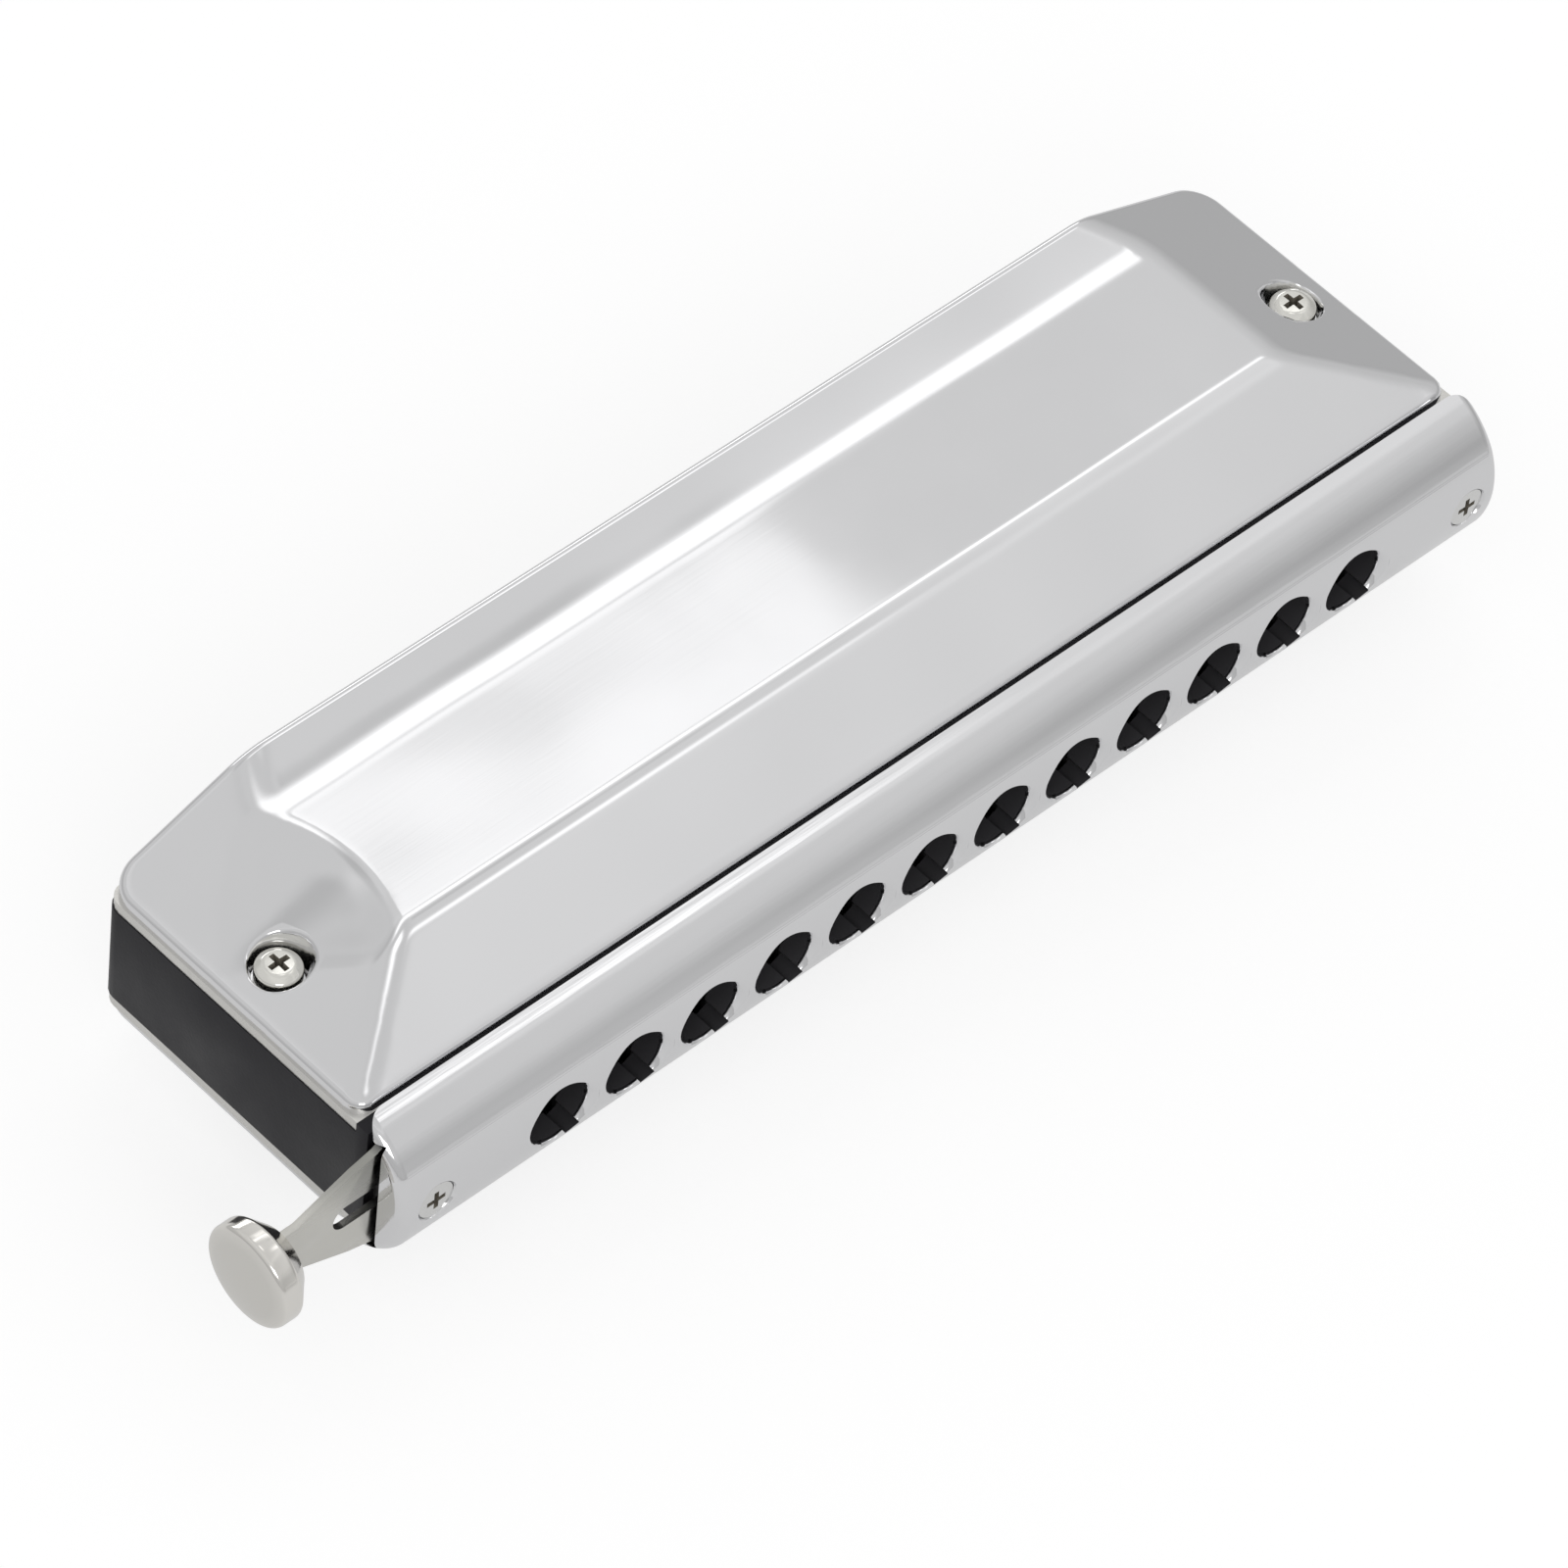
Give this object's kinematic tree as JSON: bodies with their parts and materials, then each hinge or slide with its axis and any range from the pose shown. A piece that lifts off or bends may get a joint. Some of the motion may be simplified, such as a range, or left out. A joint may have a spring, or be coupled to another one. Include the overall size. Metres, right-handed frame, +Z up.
{
  "type": "chromatic harmonica",
  "caption": "Slide chromatic harmonica: chromed covers and mouthpiece on a black comb, reed plates inside, and a sprung slide with a round push button.",
  "frame": {"origin": "centre of the footprint, on the surface that the back rim of the lower cover touches", "axes": "+X runs from the button end to the low end, +Y from the mouthpiece to the open back of the covers, +Z up through the upper cover"},
  "size_m": [0.155, 0.043, 0.0292],
  "materials": {
    "comb_plastic": "satin",
    "plate_metal": "satin",
    "reed_brass": "satin",
    "rivet_brass": "polished",
    "valve_film": "matte",
    "screw_nickel": "polished",
    "cover_chrome": "polished",
    "mouthpiece_plating": "polished",
    "insert_brass": "satin",
    "slide_nickel": "satin",
    "button_nickel": "polished",
    "sleeve_rubber": "matte",
    "spring_steel": "polished"
  },
  "bodies": {
    "body": {"comb": "comb_plastic", "reed_plate_upper": "plate_metal", "reed_plate_lower": "plate_metal", "blow_reeds_upper": "reed_brass", "blow_reeds_lower": "reed_brass", "draw_reeds_upper": "reed_brass", "draw_reeds_lower": "reed_brass", "reed_rivets_upper": "rivet_brass", "reed_rivets_lower": "rivet_brass", "outer_valves_upper": "valve_film", "outer_valves_lower": "valve_film", "inner_valves_upper": "valve_film", "inner_valves_lower": "valve_film", "plate_screws_upper": "screw_nickel", "plate_screws_lower": "screw_nickel", "cover_upper": "cover_chrome", "cover_lower": "cover_chrome", "cover_screws_upper": "screw_nickel", "cover_screws_lower": "screw_nickel", "cover_inserts": "insert_brass", "mouthpiece": "mouthpiece_plating", "mouthpiece_screws": "screw_nickel", "mouthpiece_inserts": "insert_brass", "slide_casing": "slide_nickel", "slide_back_plate": "slide_nickel", "slide_bumpers": "sleeve_rubber", "slide_spring": "spring_steel", "spring_pin": "spring_steel"},
    "slide": {"slide": "slide_nickel", "slide_button": "button_nickel"}
  },
  "joints": [
    {"name": "slide_push", "type": "slide", "parent": "body", "child": "slide", "axis": [1, 0, 0], "range_m": [0, 0.0046], "stiffness_N_per_m": 300, "springref_m": -0.005, "deforming": ["slide_spring"]}
  ]
}
